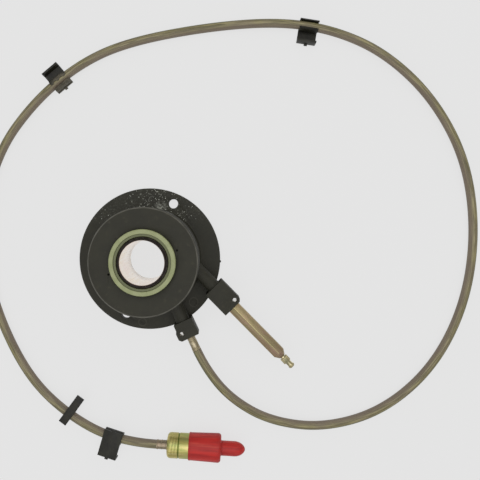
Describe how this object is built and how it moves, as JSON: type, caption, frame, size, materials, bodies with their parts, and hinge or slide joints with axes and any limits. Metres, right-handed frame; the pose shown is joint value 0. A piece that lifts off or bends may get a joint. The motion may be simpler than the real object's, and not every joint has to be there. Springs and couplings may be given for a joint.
{
  "type": "concentric clutch slave cylinder",
  "caption": "Concentric hydraulic clutch release cylinder with round flange, annular piston, bleed tube, clipped hose and capped quick coupling.",
  "frame": {"origin": "on the bore axis at the flange's back face", "axes": "+Z along the bore towards the piston face, +X and +Y across the flange, with the bleed tube towards +X and -Y"},
  "size_m": [0.3798, 0.3344, 0.0524],
  "materials": {
    "moulding": "satin moulded black plastic",
    "piston_plastic": "olive-tan moulded plastic",
    "steel": "plain drawn steel",
    "dark_steel": "blackened spring steel",
    "zinc": "yellow-passivated zinc plating",
    "rubber": "black rubber",
    "hose_sheath": "olive-brown smooth plastic sheath",
    "red_vinyl": "soft red vinyl"
  },
  "bodies": {
    "cylinder": {"housing": "moulding", "guide_sleeve": "steel", "sleeve_seal": "rubber", "stop_ring": "dark_steel", "preload_spring": "dark_steel", "hose_fitting": "steel", "hose_fitting_seal": "rubber", "hose_retaining_pin": "dark_steel", "bleed_tube": "zinc", "bleed_tube_seal": "rubber", "bleed_retaining_pin": "dark_steel", "line_hose": "hose_sheath", "line_clip_1": "moulding", "line_clip_2": "moulding", "line_clip_3": "moulding", "line_clip_4": "moulding", "coupling_ferrule": "steel", "coupling_body": "zinc", "coupling_probe": "zinc", "probe_seal": "rubber", "poppet_spring": "steel"},
    "piston": {"piston": "piston_plastic", "piston_seal": "rubber", "spring_seat": "steel"},
    "bleed_screw": {"bleed_screw": "zinc"},
    "dust_cap": {"dust_cap": "red_vinyl"},
    "poppet": {"poppet": "steel"}
  },
  "joints": [
    {"name": "piston_slide", "type": "slide", "parent": "cylinder", "child": "piston", "axis": [0, 0, 1], "range_m": [-0.012, 0], "stiffness_N_per_m": 2000, "springref_m": 0.01, "deforming": ["preload_spring"]},
    {"name": "bleed_screw_turn", "type": "hinge", "parent": "cylinder", "child": "bleed_screw", "pos_m": [0.09914, -0.07133, 0.015], "axis": [0.7022, -0.712, 0], "range_deg": [0, 360]},
    {"name": "dust_cap_pull", "type": "slide", "parent": "cylinder", "child": "dust_cap", "axis": [0.9984, -0.0436, 0.0366], "range_m": [0, 0.042]},
    {"name": "poppet_push", "type": "slide", "parent": "cylinder", "child": "poppet", "axis": [0.9984, -0.0436, 0.0366], "range_m": [-0.003, 0], "stiffness_N_per_m": 1000, "springref_m": 0.002, "deforming": ["poppet_spring"]}
  ]
}
